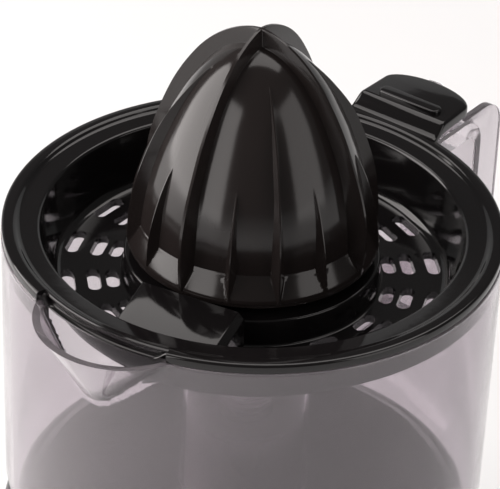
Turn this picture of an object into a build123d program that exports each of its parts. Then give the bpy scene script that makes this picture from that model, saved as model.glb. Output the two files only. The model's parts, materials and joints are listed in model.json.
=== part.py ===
"""Citrus press juicer: motor base, clear jug, strainer, nested reamers and their drive.

Millimetres, +Z up. The origin is on the spin axis at the underside of the feet.
The jug's spout points along -Y and its handle along +Y.
"""

from build123d import *
from math import acos, atan2, cos, degrees, hypot, pi, radians, sin, tan
import os

# ---- overall heights and radii -------------------------------------------------------
FOOT_H = 3.0
BASE_R = 77.0  # motor base at its widest, just above the feet
SHOULDER = 14.5  # from the widest part in to the platform's edge
PLATFORM_Z = 78.0  # flat top of the base that the jug stands on
TOWER_R = 17.5  # boss on the platform that fills the foot of the jug's column
TOWER_H = 30.0
JUG_TOP_R = 74.2
JUG_DRAFT = 0.9  # how much narrower the jug is at its foot
JUG_H = 94.0  # platform to the jug's rim
RIM_T = 3.0  # strainer's rim above the jug's
CONE_R = 37.5
CONE_H = 69.5  # foot of the large reamer to its tip

# ---- walls ---------------------------------------------------------------------------
BASE_WALL = 2.6
JUG_WALL = 2.2
JUG_FLOOR = 2.4
COLUMN_WALL = 1.8
STRAINER_WALL = 2.2
STRAINER_FLOOR = 2.5
REAMER_WALL = 2.4
COVER_PLATE_T = 2.5

# ---- clearances ----------------------------------------------------------------------
RUN = 0.05  # radial running fit of a shaft in its bush
SEAT = 0.1  # under a piece that only stands on another
SLIP = 0.4  # round a piece that lifts off or drops in
HEX_SLIP = 0.1  # each side of a hexagon in its socket
SCREW_SLIP = 0.2  # round a screw's shank in the piece it clamps
HEAD_SLIP = 0.3  # round a sunk head, and round the coil on its leg
AIR = 1.0  # between pieces that never touch

# ---- motor base ----------------------------------------------------------------------
FOOT_R = 8.0
FOOT_STEM_R = 2.5
FEET_IN = 17.0  # outer feet, in from the widest part
BOSS_R = 4.5
COVER_BOSS_IN = 7.5  # cover screws, in from the widest part
CHASSIS_CIRCLE = 52.0  # screws that hold the gear plate
COVER_CIRCLE = 38.0  # screws that hold the gear cover
SCREW_R = 1.5
HEAD_R = 2.8
HEAD_H = 1.8
HEAD_SUNK = 1.2
PILOT = 14.0  # depth of the hole for a screw in its boss
COVER_SCREW, PLATE_SCREW, GEAR_COVER_SCREW, MOTOR_SCREW = 11.0, 12.0, 10.0, 30.0  # lengths
INLET_Z = 15.0
INLET_R = 5.0
INLET_BORE = 3.2
GROMMET_IN, GROMMET_OUT = 7.0, 1.8  # how far the sleeve runs in and stands out
GROMMET_LIP = 1.4
KEY_X = 50.0  # two low pips on the platform that stop the jug turning
KEY_R = 3.0
KEY_H = 1.0

# ---- drive ---------------------------------------------------------------------------
PRESS = 2.5  # how far a push on the reamer sinks the spindle
SPINDLE_R = 5.0
DRIVE_AF = 1.6 * SPINDLE_R  # hexagon across flats, milled from the round bar
SPINDLE_END_R = SPINDLE_R - 1.0
BUSH_R = SPINDLE_R + 1.5
BUSH_L = 22.0
SEAL_R = SPINDLE_R + 3.5
SEAL_H = 2.0
TUBE_R = BUSH_R + 4.5
SOCKET_R = SPINDLE_R + 3.0
JUG_BUSH_R = SPINDLE_R + 3.0
BUSH_SLEEVE = 5.0
BUSH_FLANGE = 1.2
CLIP_T = 0.8
HUB_R = SPINDLE_R + 4.0
HUB_T = 2.0
DOG_H = 15.0  # hexagon that stands above the tower
SOCKET_ROOF = 4.0
COLLAR_BORE = SPINDLE_R + 4.5
SHAFT_REACH = 34.0  # hexagon above the foot of the reamers
PLATE_Z = 39.0  # underside of the gear plate
PLATE_T = 3.0
PLATE_R = 60.0
COVER_Z = 62.0
COVER_T = 2.5
COVER_R = 43.0
POST_R = 4.0
AXLE_R = 2.5
CUP_R = SPINDLE_END_R + 4.0
CUP_Z = 26.0
CUP_H = 12.0
CUP_FLOOR = 4.0
SPRING_Z = 10.0
SPRING_WIRE = 1.2
SPRING_TURNS = 5
GUIDE_WALL = 2.0
GUIDE_R = CUP_R + RUN + GUIDE_WALL
ARM_ANGLE = 150.0  # direction of the arm that works the switch
ARM_REACH = 18.0
ARM_W = 5.0
ARM_T = 3.0
ARM_Z = CUP_Z + 4.0

# ---- gears: tooth counts, modules and faces --------------------------------------------
PRESSURE_ANGLE = radians(20)
ADDENDUM = 0.75
DEDENDUM = 1.0
BACKLASH = 0.16
OUT_MODULE = 1.25
IN_MODULE = 0.8
PINION_TEETH = 12
WHEEL_TEETH = 48
OUT_GEAR_Z = 50.0
OUT_GEAR_W = 8.0
OUT_WEB_R = 25.0
IN_GEAR_Z = 43.0
IN_GEAR_W = 5.0
PINION_W = 6.5

# ---- motor ---------------------------------------------------------------------------
MOTOR_Y = -40.0
STACK_Z = 14.0
STACK_H = 16.0
ROTOR_R = 13.0
ROTOR_GAP = 0.5
STACK_X0, STACK_X1 = -20.0, 34.0
STACK_HALF_Y = 16.0
LEG_W = 8.0
WINDOW_W = 8.5
YOKE_W = 6.0
COIL_T = 6.2
COIL_RISE = 5.0
BRACKET_Z = 8.0
BRACKET_T = 2.5

# ---- press switch --------------------------------------------------------------------
SWITCH_R0, SWITCH_R1 = GUIDE_R + 1.2, GUIDE_R + 13.0
SWITCH_HALF_W = 5.0
SWITCH_H = 10.0
SWITCH_TOP = ARM_Z - PRESS - 1.5
PLUNGER_R = 1.5
PLUNGER_H = 6.0
PLUNGER_AT = 15.0

# ---- jug: body, beak and handle --------------------------------------------------------
JUG_CORNER = 10.0
SPOUT_OUT = 11.8  # beak beyond the jug's wall
SPOUT_HALF_W = 24.0
SPOUT_DROP = 23.0
SPOUT_TIP_R = 6.5
HANDLE_HALF_W = 12.0
HANDLE_OUT = 42.8  # handle beyond the jug's wall
HANDLE_DEPTH = 14.0  # of the handle's grip, front to back
HANDLE_BAND = 4.5
HANDLE_CHEEK = 2.6
HANDLE_CORNER = 10.0
HANDLE_BELOW = 4.6  # handle's top below the strainer's rim
GAP_BELOW = 13.0  # top of the finger gap below the strainer's rim
GAP_FROM_FOOT = 33.0
HANDLE_FOOT_H = 22.0

# ---- strainer --------------------------------------------------------------------------
RIM_IN = 0.2  # rim inside the jug's outside
SKIRT_DROP = 8.0
LEDGE_DROP = 3.8  # underside of the rim's shelf below its top
SKIRT_T = 1.7
DISH_DEPTH = 18.5  # rim to the top of the perforated floor
DISH_IN = 16.6  # rim in to the floor's edge
COLLAR_DROP = 10.0
SLOT_ROWS = 16
SLOT_W = 4.0
BRIDGE_ANGLE = -78.75
BRIDGE_HALF_W = 15.0
BRIDGE_DROP = 5.6  # inner end of the bridge below the rim
BRIDGE_FALL = 4.0  # outer end below the inner one
NOTCH = (-109.0, -72.0)  # where the rim and skirt are cut back above the spout
NOTCH_IN = 1.2  # in from the skirt
LIP_ENDS = 4.5  # degrees between each end of the notch and the pouring lip in it
LIP_TOP, LIP_FOOT, LIP_IN = 3.2, 4.6, 1.6  # below the rim's top and in from its edge
TAB_FOOT_H, TAB_TOP_H = 0.6, 4.0  # above the rim
TAB_OUT = 22.5
TAB_HALF = 15.5
TAB_BOW = 7.5
GRIP_HALF_W, GRIP_IN, GRIP_OUT, GRIP_H = 11.0, 2.0, 6.5, 1.4

# ---- reamers ---------------------------------------------------------------------------
CONE_DROP = 5.0  # foot of the cone below the strainer's rim
FLANGE_T = 1.4
FLANGE_IN = 0.7
LUG_W = 5.0
LUG_CLEAR = 1.5  # lugs stand this far outside the small reamer's foot
LUG_OUTER = 4.0  # in from the cone's foot
LUG_H = 8.0
LUG_SLIP = 0.5
KEY_POST_T = 2.0
KEY_POST_H = 5.0
RIB_TURN = 3.4
TALL_T, MEDIUM_T, SHORT_T, SMALL_T = 3.4, 3.0, 2.6, 2.2
SMALL_CREST = 1.8
WEB_T = 2.0
WEB_H = 6.0

# Outlines as shares of the cone's foot radius and of its height.
CONE_BODY = [(0.984, 0), (0.915, 0.115), (0.872, 0.259), (0.832, 0.36), (0.773, 0.46), (0.704, 0.554),
             (0.629, 0.633), (0.547, 0.705), (0.467, 0.763), (0.384, 0.813), (0.299, 0.856), (0.216, 0.889),
             (0.133, 0.912), (0.027, 0.925)]
TALL_CREST = [(1, 0), (1.024, 0.144), (1.011, 0.273), (0.955, 0.374), (0.88, 0.482), (0.8, 0.604),
              (0.667, 0.745), (0.552, 0.823), (0.373, 0.917), (0.149, 0.983), (0.027, 1)]
MEDIUM_CREST = [(1, 0), (1.003, 0.115), (0.944, 0.288), (0.861, 0.46), (0.771, 0.599), (0.656, 0.725),
                (0.507, 0.82)]
SHORT_CREST = [(1, 0), (0.979, 0.173), (0.907, 0.331), (0.787, 0.446)]
SMALL_BODY = [(0.64, 0), (0.603, 0.043), (0.56, 0.173), (0.496, 0.317), (0.411, 0.446), (0.293, 0.561),
              (0.147, 0.642), (0.013, 0.669)]

# ---- worked out from the sizes above -----------------------------------------------------
OUT_CENTRES = OUT_MODULE * (PINION_TEETH + WHEEL_TEETH) / 2
IN_CENTRES = IN_MODULE * (PINION_TEETH + WHEEL_TEETH) / 2
IDLER_Y = (OUT_CENTRES**2 - IN_CENTRES**2 + MOTOR_Y**2) / (2 * MOTOR_Y)
IDLER_X = (OUT_CENTRES**2 - IDLER_Y**2) ** 0.5
IDLER = Vector(IDLER_X, IDLER_Y)
MOTOR = Vector(0, MOTOR_Y)
TO_IDLER = radians(-90) + acos(-IDLER_Y / OUT_CENTRES)
IDLER_TO_MOTOR = radians(180) + acos(IDLER_X / IN_CENTRES)
LEG_X = STACK_X1 - LEG_W
WINDOW_X = LEG_X - WINDOW_W

PLATFORM_R = BASE_R - SHOULDER
JUG_FOOT_R = JUG_TOP_R - JUG_DRAFT
RIM_R = JUG_TOP_R - RIM_IN
SKIRT_R = JUG_TOP_R - JUG_WALL - SLIP
COLLAR_R = CONE_R + 0.5
DISH_R = RIM_R - DISH_IN
SLOT_RINGS = [(DISH_R - 2.8, 12.0), (DISH_R - 10.4, 11.0), (COLLAR_R + 3, 9.0)]  # radius and length
HANDLE_REACH = JUG_TOP_R + HANDLE_OUT
GAP_REACH = HANDLE_REACH - HANDLE_DEPTH
SPOUT_REACH = JUG_TOP_R + SPOUT_OUT
TAB_REACH = RIM_R + TAB_OUT
LUG_IN = SMALL_BODY[0][0] * CONE_R + LUG_CLEAR

JUG_Z = PLATFORM_Z + SEAT
JUG_RIM_Z = PLATFORM_Z + JUG_H
RIM_Z = JUG_RIM_Z + RIM_T  # top of the strainer's rim
FLOOR_Z = RIM_Z - DISH_DEPTH
COLLAR_TOP = RIM_Z - COLLAR_DROP
BRIDGE_TOP = RIM_Z - BRIDGE_DROP
CONE_Z = RIM_Z - CONE_DROP
TOWER_Z = PLATFORM_Z + TOWER_H
COLUMN_IN = TOWER_R + SLIP
COLUMN_R = COLUMN_IN + COLUMN_WALL
COLUMN_TOP = FLOOR_Z - STRAINER_FLOOR - 3.0
HANDLE_TOP = RIM_Z - HANDLE_BELOW
GAP_TOP = RIM_Z - GAP_BELOW
GAP_FOOT = JUG_Z + GAP_FROM_FOOT
TAB_FOOT = RIM_Z + TAB_FOOT_H
TAB_TOP = RIM_Z + TAB_TOP_H
SPINDLE_HEX_TOP = COVER_Z + COVER_T
DOG_TOP = TOWER_Z + DOG_H
SOCKET_Z = TOWER_Z + PRESS + 0.6
SHAFT_HEX_Z = COLLAR_TOP - 2
SHAFT_TOP = CONE_Z + SHAFT_REACH


def disc(radius, z0, z1, centre=(0, 0)):
    return Pos(centre[0], centre[1], (z0 + z1) / 2) * Cylinder(radius, z1 - z0)


def ring(outer, inner, z0, z1, centre=(0, 0)):
    return disc(outer, z0, z1, centre) - disc(inner, z0 - 1, z1 + 1, centre)


def block(x0, x1, y0, y1, z0, z1):
    middle = ((x0 + x1) / 2, (y0 + y1) / 2, (z0 + z1) / 2)
    return Pos(*middle) * Box(x1 - x0, y1 - y0, z1 - z0)


def hexagon(across_flats, z0, z1):
    face = RegularPolygon(radius=across_flats / 2, side_count=6, major_radius=False)
    return Pos(0, 0, z0) * extrude(face, z1 - z0)


def turned(*points):
    """Solid of revolution from its half section of (radius, height) points."""
    return revolve(Plane.XZ * make_face(Polyline(*points, close=True)), Axis.Z)


def polar(radius, degrees_round):
    return Vector(radius * cos(radians(degrees_round)), radius * sin(radians(degrees_round)))


def gear(teeth, module, width, z, centre, first_tooth):
    """Spur wheel with involute flanks; first_tooth is the direction of one tooth's middle."""
    pitch = module * teeth / 2
    base, tip, root = pitch * cos(PRESSURE_ANGLE), pitch + ADDENDUM * module, pitch - DEDENDUM * module

    def involute(radius):
        slope = acos(base / max(radius, base))
        return tan(slope) - slope

    half_pitch_tooth = pi / (2 * teeth) - BACKLASH / (2 * pitch) + involute(pitch)
    start = max(root, base)
    radii = [start + (tip - start) * step / 3 for step in range(4)]
    if root < base:
        radii.insert(0, root)
    flank = [(r, half_pitch_tooth - involute(r)) for r in radii]
    outline = []
    for tooth in range(teeth):
        middle = first_tooth + 2 * pi * tooth / teeth
        outline += [(r * cos(middle - a), r * sin(middle - a)) for r, a in flank]
        outline += [(r * cos(middle + a), r * sin(middle + a)) for r, a in reversed(flank)]
    face = make_face(Polyline(*outline, close=True))
    return Pos(centre.X, centre.Y, z) * extrude(face, width)


# ---- motor base, its cover, feet and screws -------------------------------------------
CHASSIS_BOSSES = [polar(CHASSIS_CIRCLE, a) for a in (20, 100, 175, 235)]
COVER_BOSSES = [polar(BASE_R - COVER_BOSS_IN, a) for a in (45, 135, 225, 315)]
COVER_POSTS = [polar(COVER_CIRCLE, a) for a in (60, 150, 215)]
STACK_SCREWS = [MOTOR + Vector(-13.5, -12.5), MOTOR + Vector(13.5, 12.5)]
FEET = [Vector(0, 0)] + [polar(BASE_R - FEET_IN, a) for a in (0, 90, 180, 270)]


def base_section():
    """Half section of the housing's outside, from its foot to the platform's edge."""
    return [
        (BASE_R - 1.0, FOOT_H),
        (BASE_R, FOOT_H + 6),
        (BASE_R - 0.8, PLATFORM_Z - 40),
        (BASE_R - 2.4, PLATFORM_Z - 12),
        (BASE_R - 3.8, PLATFORM_Z - 6.5),
        (BASE_R - 6.4, PLATFORM_Z - 4),
        (PLATFORM_R + 4, PLATFORM_Z - 3),
        (PLATFORM_R + 1.6, PLATFORM_Z - 1.4),
        (PLATFORM_R, PLATFORM_Z),
    ]


def base_housing():
    wall = BASE_WALL
    tube_foot = PLATFORM_Z - 6
    outside = base_section()
    inside = [(r - wall, z - (0 if z < PLATFORM_Z - 12.5 else wall)) for r, z in reversed(outside)]
    tower = [
        (TOWER_R, PLATFORM_Z),
        (TOWER_R, TOWER_Z - 1.5),
        (TOWER_R - 1.5, TOWER_Z),
        (SEAL_R, TOWER_Z),
        (SEAL_R, TOWER_Z - SEAL_H),
        (BUSH_R, TOWER_Z - SEAL_H),
        (BUSH_R, tube_foot),
        (TUBE_R, tube_foot),
        (TUBE_R, TOWER_Z - wall),
        (TOWER_R - wall, TOWER_Z - wall),
        (TOWER_R - wall, PLATFORM_Z - wall),
    ]
    body = turned(*outside, *tower, *inside)
    for place in CHASSIS_BOSSES:
        body += disc(BOSS_R, PLATE_Z + PLATE_T, PLATFORM_Z - 1, (place.X, place.Y))
        body -= disc(SCREW_R, PLATE_Z, PLATE_Z + PILOT, (place.X, place.Y))
    for place in COVER_BOSSES:
        body += disc(BOSS_R, FOOT_H + COVER_PLATE_T, PLATFORM_Z - 14, (place.X, place.Y))
        body -= disc(SCREW_R, FOOT_H, FOOT_H + PILOT, (place.X, place.Y))
    for side in (-1, 1):
        body += disc(KEY_R, PLATFORM_Z - 1, PLATFORM_Z + KEY_H, (side * KEY_X, 0))
    body -= Pos(0, BASE_R, INLET_Z) * Rot(90, 0, 0) * Cylinder(INLET_R, 20)
    return body


def bottom_cover():
    top = FOOT_H + COVER_PLATE_T
    cover = disc(BASE_R - 1.0 - BASE_WALL - SLIP, FOOT_H, top)
    for place in COVER_BOSSES:
        spot = (place.X, place.Y)
        cover -= disc(SCREW_R + SCREW_SLIP, FOOT_H - 1, top + 1, spot)
        cover -= disc(HEAD_R + HEAD_SLIP, FOOT_H - 1, FOOT_H + HEAD_SUNK, spot)
    for place in FEET:
        cover -= disc(FOOT_STEM_R, FOOT_H - 1, top + 1, (place.X, place.Y))
    return cover


def foot(place):
    spot = (place.X, place.Y)
    pad = disc(FOOT_R, 0, FOOT_H, spot)
    pad = chamfer(pad.edges().group_by(Axis.Z)[0], 0.6)
    return pad + disc(FOOT_STEM_R, FOOT_H, FOOT_H + COVER_PLATE_T, spot)


def screw(place, head_z, length, points_up=True):
    """Pan-head screw: head_z is the seat under its head, the shank runs away from the head."""
    spot = (place.X, place.Y)
    way = 1 if points_up else -1
    head = sorted((head_z, head_z - way * HEAD_H))
    shank = sorted((head_z, head_z + way * length))
    slot = Pos(place.X, place.Y, head_z - way * HEAD_H) * Box(HEAD_R * 1.2, 0.7, 1.2)
    return disc(HEAD_R, *head, spot) + disc(SCREW_R, *shank, spot) - slot


def cord_grommet():
    sleeve_in, sleeve_out = BASE_R - GROMMET_IN, BASE_R + GROMMET_OUT
    length = sleeve_out - sleeve_in
    along = Pos(0, (sleeve_in + sleeve_out) / 2, INLET_Z) * Rot(90, 0, 0)
    lip = Pos(0, sleeve_out - GROMMET_LIP / 2, INLET_Z) * Rot(90, 0, 0)
    collar = lip * Cylinder(INLET_R + 1.6, GROMMET_LIP)
    return along * Cylinder(INLET_R, length) + collar - along * Cylinder(INLET_BORE, length + 2)


def spindle_seal():
    return ring(SEAL_R, SPINDLE_R + SLIP, TOWER_Z - SEAL_H, TOWER_Z)


def tower_bush():
    return ring(BUSH_R, SPINDLE_R + RUN, TOWER_Z - SEAL_H - BUSH_L, TOWER_Z - SEAL_H)


# ---- gear plate, cover and gears ------------------------------------------------------
def gear_plate():
    top = PLATE_Z + PLATE_T
    plate = disc(PLATE_R, PLATE_Z, top)
    plate += disc(GUIDE_R, SPRING_Z - 2, PLATE_Z)
    plate += disc(HUB_R + 3, PLATE_Z, OUT_GEAR_Z - HUB_T + 0.2)
    for place in COVER_POSTS:
        plate += disc(POST_R, top, COVER_Z, (place.X, place.Y))
        plate -= disc(SCREW_R, COVER_Z - 10, COVER_Z + 1, (place.X, place.Y))
    for place in STACK_SCREWS:
        plate += disc(POST_R, STACK_Z + STACK_H, PLATE_Z, (place.X, place.Y))
        plate -= disc(SCREW_R, STACK_Z, top - 1, (place.X, place.Y))
    for place in CHASSIS_BOSSES:
        plate -= disc(SCREW_R + SCREW_SLIP, PLATE_Z - 1, top + 1, (place.X, place.Y))
    plate -= disc(CUP_R + RUN, SPRING_Z, OUT_GEAR_Z)
    plate -= disc(AXLE_R, PLATE_Z - 1, top + 1, (IDLER.X, IDLER.Y))
    plate -= disc(AXLE_R + RUN, PLATE_Z - 1, top + 1, (MOTOR.X, MOTOR.Y))
    half_slot = ARM_W / 2 + 0.6
    slot = block(0, ARM_REACH + 8, -half_slot, half_slot, CUP_Z, PLATE_Z)
    return plate - Rot(0, 0, ARM_ANGLE) * slot


def gear_cover():
    top = COVER_Z + COVER_T
    cover = ring(COVER_R, HUB_R, COVER_Z, top)
    for place in COVER_POSTS:
        cover -= disc(SCREW_R + SCREW_SLIP, COVER_Z - 1, top + 1, (place.X, place.Y))
    return cover - disc(AXLE_R, COVER_Z - 1, top + 1, (IDLER.X, IDLER.Y))


def idler_axle():
    return disc(AXLE_R, PLATE_Z, COVER_Z + COVER_T, (IDLER.X, IDLER.Y))


def output_gear():
    wheel = gear(WHEEL_TEETH, OUT_MODULE, OUT_GEAR_W, OUT_GEAR_Z, Vector(0, 0), TO_IDLER)
    for face_z in (OUT_GEAR_Z - 1, OUT_GEAR_Z + OUT_GEAR_W - 2):
        wheel -= ring(OUT_WEB_R, HUB_R, face_z, face_z + 3)
    wheel += disc(HUB_R, OUT_GEAR_Z - HUB_T + 0.5, OUT_GEAR_Z + OUT_GEAR_W + HUB_T)
    return wheel - hexagon(DRIVE_AF + 2 * HEX_SLIP, OUT_GEAR_Z - 3, COVER_Z)


def idler_gear():
    wheel = gear(WHEEL_TEETH, IN_MODULE, IN_GEAR_W, IN_GEAR_Z, IDLER, IDLER_TO_MOTOR)
    z = IN_GEAR_Z + IN_GEAR_W
    first_tooth = TO_IDLER + pi + pi / PINION_TEETH
    pinion = gear(PINION_TEETH, OUT_MODULE, COVER_Z - AIR - z, z, IDLER, first_tooth)
    return wheel + pinion - disc(AXLE_R + RUN, IN_GEAR_Z - 1, COVER_Z, (IDLER.X, IDLER.Y))


def motor_pinion():
    z = PLATE_Z + PLATE_T + AIR / 2
    first_tooth = IDLER_TO_MOTOR + pi + pi / PINION_TEETH
    pinion = gear(PINION_TEETH, IN_MODULE, PINION_W, z, MOTOR, first_tooth)
    return pinion - disc(AXLE_R, z - 1, z + PINION_W + 1, (MOTOR.X, MOTOR.Y))


# ---- motor ----------------------------------------------------------------------------
def rotor_shaft():
    return disc(AXLE_R, BRACKET_Z, PLATE_Z + PLATE_T + 8, (MOTOR.X, MOTOR.Y))


def rotor_core():
    return ring(ROTOR_R, AXLE_R, STACK_Z, STACK_Z + STACK_H, (MOTOR.X, MOTOR.Y))


def stator_core():
    y0, y1 = MOTOR_Y - STACK_HALF_Y, MOTOR_Y + STACK_HALF_Y
    stack = block(STACK_X0, STACK_X1, y0, y1, STACK_Z, STACK_Z + STACK_H)
    stack -= block(WINDOW_X, LEG_X, y0 + YOKE_W, y1 - YOKE_W, STACK_Z - 1, STACK_Z + STACK_H + 1)
    stack -= disc(ROTOR_R + ROTOR_GAP, STACK_Z - 1, STACK_Z + STACK_H + 1, (MOTOR.X, MOTOR.Y))
    for place in STACK_SCREWS:
        stack -= disc(SCREW_R + SCREW_SLIP, STACK_Z - 1, STACK_Z + STACK_H + 1, (place.X, place.Y))
    return stack


def stator_coil():
    """Winding on the leg, cleared all round the steel by the bobbin's thickness."""
    window = YOKE_W + HEAD_SLIP - STACK_HALF_Y
    y0, y1 = MOTOR_Y + window, MOTOR_Y - window
    z0, z1 = STACK_Z - HEAD_SLIP, STACK_Z + STACK_H + HEAD_SLIP
    low, high = STACK_Z - COIL_RISE, STACK_Z + STACK_H + COIL_RISE
    outside = block(LEG_X - COIL_T, STACK_X1 + COIL_T, y0, y1, low, high)
    outside = fillet(outside.edges().filter_by(Axis.Y), 3)
    return outside - block(LEG_X - HEAD_SLIP, STACK_X1 + HEAD_SLIP, y0 - 1, y1 + 1, z0, z1)


def motor_bracket():
    """Strap under the stack that carries the rotor's lower bearing."""
    first, last = STACK_SCREWS
    across = last - first
    span = hypot(across.X, across.Y)
    turn = Pos(MOTOR.X, MOTOR.Y, BRACKET_Z + BRACKET_T / 2) * Rot(0, 0, degrees(atan2(across.Y, across.X)))
    strap = turn * Box(span + 2 * POST_R, 2 * POST_R, BRACKET_T)
    strap += disc(POST_R + 1, BRACKET_Z, STACK_Z - 2, (MOTOR.X, MOTOR.Y))
    for place in STACK_SCREWS:
        strap += disc(POST_R, BRACKET_Z, STACK_Z, (place.X, place.Y))
        strap -= disc(SCREW_R + SCREW_SLIP, BRACKET_Z - 1, STACK_Z + 1, (place.X, place.Y))
    return strap - disc(AXLE_R + RUN, BRACKET_Z - 1, STACK_Z, (MOTOR.X, MOTOR.Y))


# ---- thrust cup, return spring and press switch ---------------------------------------
def thrust_cup():
    cup = disc(CUP_R, CUP_Z, CUP_Z + CUP_H)
    arm = block(0, ARM_REACH, -ARM_W / 2, ARM_W / 2, ARM_Z, ARM_Z + ARM_T)
    cup += Rot(0, 0, ARM_ANGLE) * arm
    cup -= disc(SPINDLE_END_R + RUN, CUP_Z + CUP_FLOOR, CUP_Z + CUP_H + 1)
    return cup - disc(SPINDLE_END_R, CUP_Z - 1, CUP_Z + 2)


def return_spring():
    radius = CUP_R - SPRING_WIRE
    height = CUP_Z - SPRING_Z - SPRING_WIRE - 0.2
    coil = Helix(height / SPRING_TURNS, height, radius)
    section = Plane(origin=coil @ 0, z_dir=coil % 0) * Circle(SPRING_WIRE / 2)
    return Pos(0, 0, SPRING_Z + SPRING_WIRE / 2 + 0.1) * sweep(section, path=coil)


def micro_switch():
    case = block(SWITCH_R0, SWITCH_R1, -SWITCH_HALF_W, SWITCH_HALF_W, SWITCH_TOP - SWITCH_H, SWITCH_TOP)
    case = chamfer(case.edges().filter_by(Axis.Z), 0.8)
    well = disc(PLUNGER_R + RUN, SWITCH_TOP - PLUNGER_H - PRESS, SWITCH_TOP + 1, (PLUNGER_AT, 0))
    return Rot(0, 0, ARM_ANGLE) * (case - well)


def switch_bracket():
    """Leg that hangs from the gear plate and holds the switch case from behind."""
    leg = block(SWITCH_R1, SWITCH_R1 + 2, -SWITCH_HALF_W, SWITCH_HALF_W, SWITCH_TOP - SWITCH_H, PLATE_Z)
    return Rot(0, 0, ARM_ANGLE) * leg


def switch_plunger():
    stem = disc(PLUNGER_R, SWITCH_TOP - PLUNGER_H + 1, ARM_Z - 0.2, (PLUNGER_AT, 0))
    return Rot(0, 0, ARM_ANGLE) * stem


# ---- spindle and the shaft in the jug's column ----------------------------------------
def spindle():
    rod = disc(SPINDLE_END_R, CUP_Z + CUP_FLOOR, CUP_Z + CUP_H)
    rod += hexagon(DRIVE_AF, CUP_Z + CUP_H, SPINDLE_HEX_TOP)
    rod += disc(SPINDLE_R, SPINDLE_HEX_TOP, TOWER_Z + 1)
    return rod + hexagon(DRIVE_AF, TOWER_Z + 1, DOG_TOP)


def jug_shaft():
    head = disc(SOCKET_R, SOCKET_Z, DOG_TOP + SOCKET_ROOF)
    head -= hexagon(DRIVE_AF + 2 * HEX_SLIP, SOCKET_Z - 1, DOG_TOP + 0.6)
    rod = disc(SPINDLE_R, DOG_TOP + SOCKET_ROOF, SHAFT_HEX_Z)
    return head + rod + hexagon(DRIVE_AF, SHAFT_HEX_Z, SHAFT_TOP)


def shaft_clip():
    z = COLUMN_TOP + BUSH_FLANGE + PRESS + 0.6
    return ring(JUG_BUSH_R, SPINDLE_R, z, z + CLIP_T)


def jug_bush():
    sleeve = disc(JUG_BUSH_R, COLUMN_TOP - BUSH_SLEEVE, COLUMN_TOP)
    sleeve += disc(JUG_BUSH_R + 2.5, COLUMN_TOP, COLUMN_TOP + BUSH_FLANGE)
    return sleeve - disc(SPINDLE_R + RUN, COLUMN_TOP - BUSH_SLEEVE - 1, COLUMN_TOP + BUSH_FLANGE + 1)


# ---- jug ------------------------------------------------------------------------------
def jug_hull(shrink):
    """The jug's round body as a solid, its walls brought in by shrink."""
    foot_z = JUG_Z + (JUG_FLOOR if shrink else 0)
    corner = JUG_CORNER - shrink
    reach = JUG_FOOT_R - shrink
    arc = [
        (reach - corner * (1 - sin(radians(a))), foot_z + corner * (1 - cos(radians(a))))
        for a in range(0, 91, 15)
    ]
    top = JUG_RIM_Z + (1 if shrink else 0)
    return turned((0, foot_z), *arc, (JUG_TOP_R - shrink, top), (0, top))


def beak(shrink):
    """Pouring beak: a tapering round channel through the spout's tip and the two mouth corners."""
    wall_r = JUG_TOP_R - 4
    depth = SPOUT_REACH - wall_r
    mouth_r = (SPOUT_HALF_W**2 + depth**2) / (2 * depth)
    lift = 2 if shrink else 0
    upper = Pos(0, mouth_r - SPOUT_REACH, JUG_RIM_Z + lift) * Circle(mouth_r - shrink)
    lower_z = JUG_RIM_Z - SPOUT_DROP + shrink
    lower = Pos(0, SPOUT_TIP_R - JUG_TOP_R + 1.2, lower_z) * Circle(SPOUT_TIP_R - shrink)
    return loft([lower, upper])


def handle_plate(inset, half_width):
    """Side view of the handle as a plate; inset brings its outer edge in."""
    root, reach, top = JUG_TOP_R - 2, HANDLE_REACH - inset, HANDLE_TOP - inset
    corner, low = HANDLE_CORNER - inset, GAP_FOOT - HANDLE_FOOT_H + inset
    bend = [
        (reach - corner * (1 - sin(radians(a))), top - corner * (1 - cos(radians(a))))
        for a in range(0, 91, 30)
    ]
    side = [
        (root, top),
        *bend,
        (reach, GAP_FOOT + 12),
        (reach - 4, GAP_FOOT - 3),
        (reach - 14, low + 6),
        (root, low),
    ]
    return extrude(Plane.YZ * make_face(Polyline(*side, close=True)), half_width, both=True)


def finger_gap():
    inside = JUG_TOP_R - 3
    side = [
        (inside, GAP_TOP),
        (GAP_REACH - 3, GAP_TOP),
        (GAP_REACH, GAP_TOP - 3),
        (GAP_REACH, GAP_FOOT + 12),
        (GAP_REACH - 4, GAP_FOOT + 3),
        (GAP_REACH - 11, GAP_FOOT),
        (inside, GAP_FOOT),
    ]
    return extrude(Plane.YZ * make_face(Polyline(*side, close=True)), HANDLE_HALF_W + 5, both=True)


def jug():
    handle = handle_plate(0, HANDLE_HALF_W) - finger_gap()
    handle -= handle_plate(HANDLE_BAND, HANDLE_HALF_W - HANDLE_CHEEK)
    body = jug_hull(0) + beak(0) + handle
    body = body - jug_hull(JUG_WALL) - beak(JUG_WALL)
    body += disc(COLUMN_R, JUG_Z, COLUMN_TOP)
    body -= disc(COLUMN_IN, JUG_Z - 1, COLUMN_TOP - JUG_FLOOR)
    body -= disc(JUG_BUSH_R, COLUMN_TOP - BUSH_SLEEVE, COLUMN_TOP + 1)
    for side in (-1, 1):
        body -= disc(KEY_R + SLIP, JUG_Z - 1, PLATFORM_Z + KEY_H + 0.3, (side * KEY_X, 0))
    return body


# ---- strainer -------------------------------------------------------------------------
def tab_plate(inset, z0, z1):
    """Thumb tab in plan, straight sides and a bowed outer edge, between two heights."""
    root, reach, half = RIM_R - 4, TAB_REACH - inset, TAB_HALF - inset
    side_end = reach - TAB_BOW
    edge = [
        Line((-half, root), (-half, side_end)),
        ThreePointArc((-half, side_end), (0, reach), (half, side_end)),
        Line((half, side_end), (half, root)),
        Line((half, root), (-half, root)),
    ]
    return Pos(0, 0, z0) * extrude(make_face(edge), z1 - z0)


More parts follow.
